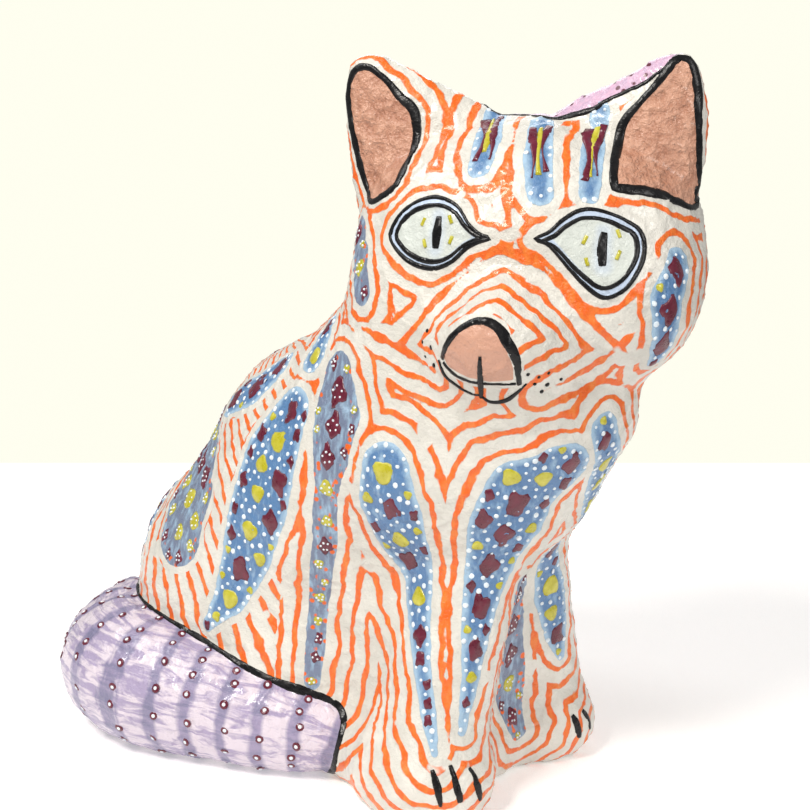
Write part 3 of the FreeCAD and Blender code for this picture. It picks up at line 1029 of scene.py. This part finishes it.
# ---- dabs and dots ----------------------------------------------------------------------------------------------
def spaced(indices, spacing, taken, clearance):
    """Some of these points of the skin, no two nearer than the spacing, and clear of the places taken."""
    chosen = np.empty((0, 3))
    centres = np.array([p for p, _ in taken]).reshape(-1, 3)
    reaches = np.array([r for _, r in taken])
    for i in indices:
        p = skin.points[i]
        if len(centres) and (np.linalg.norm(centres - p, axis=1) < reaches + clearance).any():
            continue
        if len(chosen) and (np.linalg.norm(chosen - p, axis=1) < spacing).any():
            continue
        chosen = np.vstack((chosen, p))
    return [Vector(p) for p in chosen]


def dabs_in(gap):
    """Places and sizes of the dabs that fill a patch, the deepest first."""
    inside = np.flatnonzero(gap < -1.9 * MM).tolist()
    ranked = sorted(inside, key=lambda i: gap[i] + dice.uniform(0, 9 * MM))
    found = []
    for i in ranked:
        size = min(max(-gap[i] * 0.66, 1.7 * MM), dice.uniform(3.6, 5.0) * MM)
        p = Vector(skin.points[i])
        if all((p - q).length > (size + other) * 1.18 + 1.9 * MM for q, other in found):
            found.append((p, size))
    return found


def make_dabs():
    red, gold, dots = Paint(), Paint(), Paint()
    for name, style, line, radii in patches:
        gap = patch_gap[name]
        if name.startswith("brow"):
            taken = make_brow(line, radii, red, gold)
        else:
            taken = dabs_in(gap)
            for place, size in taken:
                if dice.random() < 0.55:
                    red.blob(place, size * 0.92, 1.4, dice, corners=0.16)
                else:
                    gold.blob(place, size * 0.86, 1.05, dice, corners=0.05)
                if style == 1:
                    speckle(place, size, dots)
        if style == 0:
            inside = np.flatnonzero(gap < -0.8 * MM).tolist()
            dice.shuffle(inside)
            for place in spaced(inside, 3.3 * MM, taken, 1.0 * MM):
                dots.dot(place, dice.uniform(0.55, 1.15) * MM)
    red.piece("maroon_dabs", maroon)
    gold.piece("yellow_dabs", yellow)
    dots.piece("white_dots", white)


def speckle(place, size, dots):
    """A few small dots on top of one dab."""
    centre, normal = on_skin(place)
    first = normal.orthogonal().normalized()
    second = normal.cross(first)
    count = 5 if size > 2.2 * MM else 3
    for k in range(count):
        turn = 2 * math.pi * k / count + dice.uniform(-0.3, 0.3)
        offset = (first * math.cos(turn) + second * math.sin(turn)) * size * 0.55
        dots.dot(centre + offset, 0.5 * MM, height=0.75 * MM)


def make_brow(line, radii, red, gold):
    """A loop of maroon round a yellow stroke, inside one of the ovals over the eyes."""
    path = smooth_line(line, 1.2 * MM)
    keep = path[3:-3]
    normal = on_skin(path[len(path) // 2])[1]
    across = (path[-1] - path[0]).cross(normal).normalized()
    reach = radii[1] * 0.40
    for sign in (-1, 1):
        start = dice.choice((0, 1, 2))
        stop = len(keep) - dice.choice((0, 2, 4))
        sway = [0.8 * MM * math.sin(0.26 * k + sign) for k in range(len(keep))]
        side = [p + across * (sign * reach + shift) for p, shift in zip(keep, sway)]
        red.ribbon(side[start:stop], uneven(stop - start, 2.3 * MM, 0.8, dice))
    middle_line = keep[2:-3]
    gold.ribbon(middle_line, uneven(len(middle_line), 1.8 * MM, 0.7, dice))
    return [(p, reach + 1.0 * MM) for p in keep]


def make_tail_dots():
    """White dots in dark red rings, in rows on the tail's dark bands."""
    red, dots = Paint(), Paint()
    on_tail = np.flatnonzero((tail_side < -2.5) & (skin.points[:, 2] > 3 * MM))
    for row in range(1, int(tail_along[on_tail].max() / BAND_PITCH)):
        near = on_tail[np.abs(tail_along[on_tail] - (row + 0.5) * BAND_PITCH + 1.0) < 1.2]
        turn = np.arctan2(tail_place[near, 2], tail_place[near, 1])
        for place in spaced(near[np.argsort(turn)], dice.uniform(5.2, 6.4) * MM, [], 0.0):
            red.dot(place, dice.uniform(1.6, 1.95) * MM, height=0.3 * MM, sides=10)
            dots.dot(place, 0.85 * MM, height=0.62 * MM)
    red.piece("maroon_tail_dots", maroon)
    dots.piece("white_tail_dots", white)


def make_eye_flecks():
    """Short olive strokes either side of each pupil."""
    paint = Paint()
    for name, pupil in PUPILS.items():
        x, z = pupil[1]
        for side, height, lean in ((-5.5, 3.0, 0.6), (-4.6, -4.0, -0.4), (5.0, 4.2, -0.5), (5.2, -2.5, 0.5)):
            line = [(x + side - lean, z + height - 1.3), (x + side, z + height), (x + side + lean, z + height + 1.3)]
            path = face_line(line, False, 0.7)
            paint.ribbon(path, [1.3 * MM] * len(path))
    paint.piece("yellow_eye_flecks", yellow)


make_face_lines()
make_ear_lines()
make_claws()
make_tail_line()
make_dabs()
make_tail_dots()
make_eye_flecks()


# ---- camera, light and floor ----------------------------------------------------------------------------------
def make_camera():
    data = bpy.data.cameras.new("camera")
    data.sensor_width = 36
    data.lens = 66.7
    camera = bpy.data.objects.new("camera", data)
    camera.location = Vector((-423.7, -384.8, 275)) * MM
    pitch = math.radians(13)
    ahead = Vector((math.sin(CAMERA_AZIMUTH) * math.cos(pitch), math.cos(CAMERA_AZIMUTH) * math.cos(pitch),
                    -math.sin(pitch)))
    camera.rotation_euler = ahead.to_track_quat("-Z", "Y").to_euler()
    bpy.context.collection.objects.link(camera)
    bpy.context.scene.camera = camera


def make_floor():
    mesh = bpy.data.meshes.new("floor")
    corners = [(-TABLE_REACH, -TABLE_REACH, 0), (TABLE_REACH, -TABLE_REACH, 0), (TABLE_REACH, TABLE_REACH, 0),
               (-TABLE_REACH, TABLE_REACH, 0)]
    mesh.from_pydata(corners, [], [(0, 1, 2, 3)])
    mesh.materials.append(tablecloth())
    floor = bpy.data.objects.new("floor", mesh)
    floor.location = (0, 0, -0.2 * MM)
    floor.rotation_euler = (0, 0, -CAMERA_AZIMUTH)
    bpy.context.collection.objects.link(floor)


def make_light(name, place, target, size, power, colour):
    data = bpy.data.lights.new(name, "AREA")
    data.size = size
    data.energy = power
    data.color = colour
    light = bpy.data.objects.new(name, data)
    light.location = place
    aim = Vector(target) - Vector(place)
    light.rotation_euler = aim.to_track_quat("-Z", "Y").to_euler()
    bpy.context.collection.objects.link(light)


def make_world():
    world = bpy.data.worlds.new("room")
    world.use_nodes = True
    nodes = world.node_tree.nodes
    light = nodes["Background"]
    light.inputs["Color"].default_value = (1.0, 0.985, 0.95, 1)
    light.inputs["Strength"].default_value = 0.33
    wall = nodes.new("ShaderNodeBackground")
    wall.inputs["Color"].default_value = (1.0, 0.995, 0.87, 1)
    choose = nodes.new("ShaderNodeMixShader")
    link = world.node_tree.links.new
    link(nodes.new("ShaderNodeLightPath").outputs["Is Camera Ray"], choose.inputs[0])
    link(light.outputs[0], choose.inputs[1])
    link(wall.outputs[0], choose.inputs[2])
    link(choose.outputs[0], nodes["World Output"].inputs["Surface"])
    bpy.context.scene.world = world


make_camera()
make_floor()
make_world()
middle = (0.0, 0.0, 0.12)
make_light("key", (-0.75, -0.05, 0.95), middle, 0.26, 10.0, (1.0, 0.96, 0.90))
make_light("fill", (-0.1, -0.95, 0.6), middle, 0.35, 3.4, (1.0, 0.98, 0.96))
make_light("window", (-0.3, 0.5, 0.9), middle, 0.3, 2.4, (0.96, 0.98, 1.0))
make_light("behind", (0.8, 0.6, 0.7), middle, 0.6, 3.0, (0.98, 0.98, 1.0))
bpy.context.scene.view_settings.view_transform = "Standard"
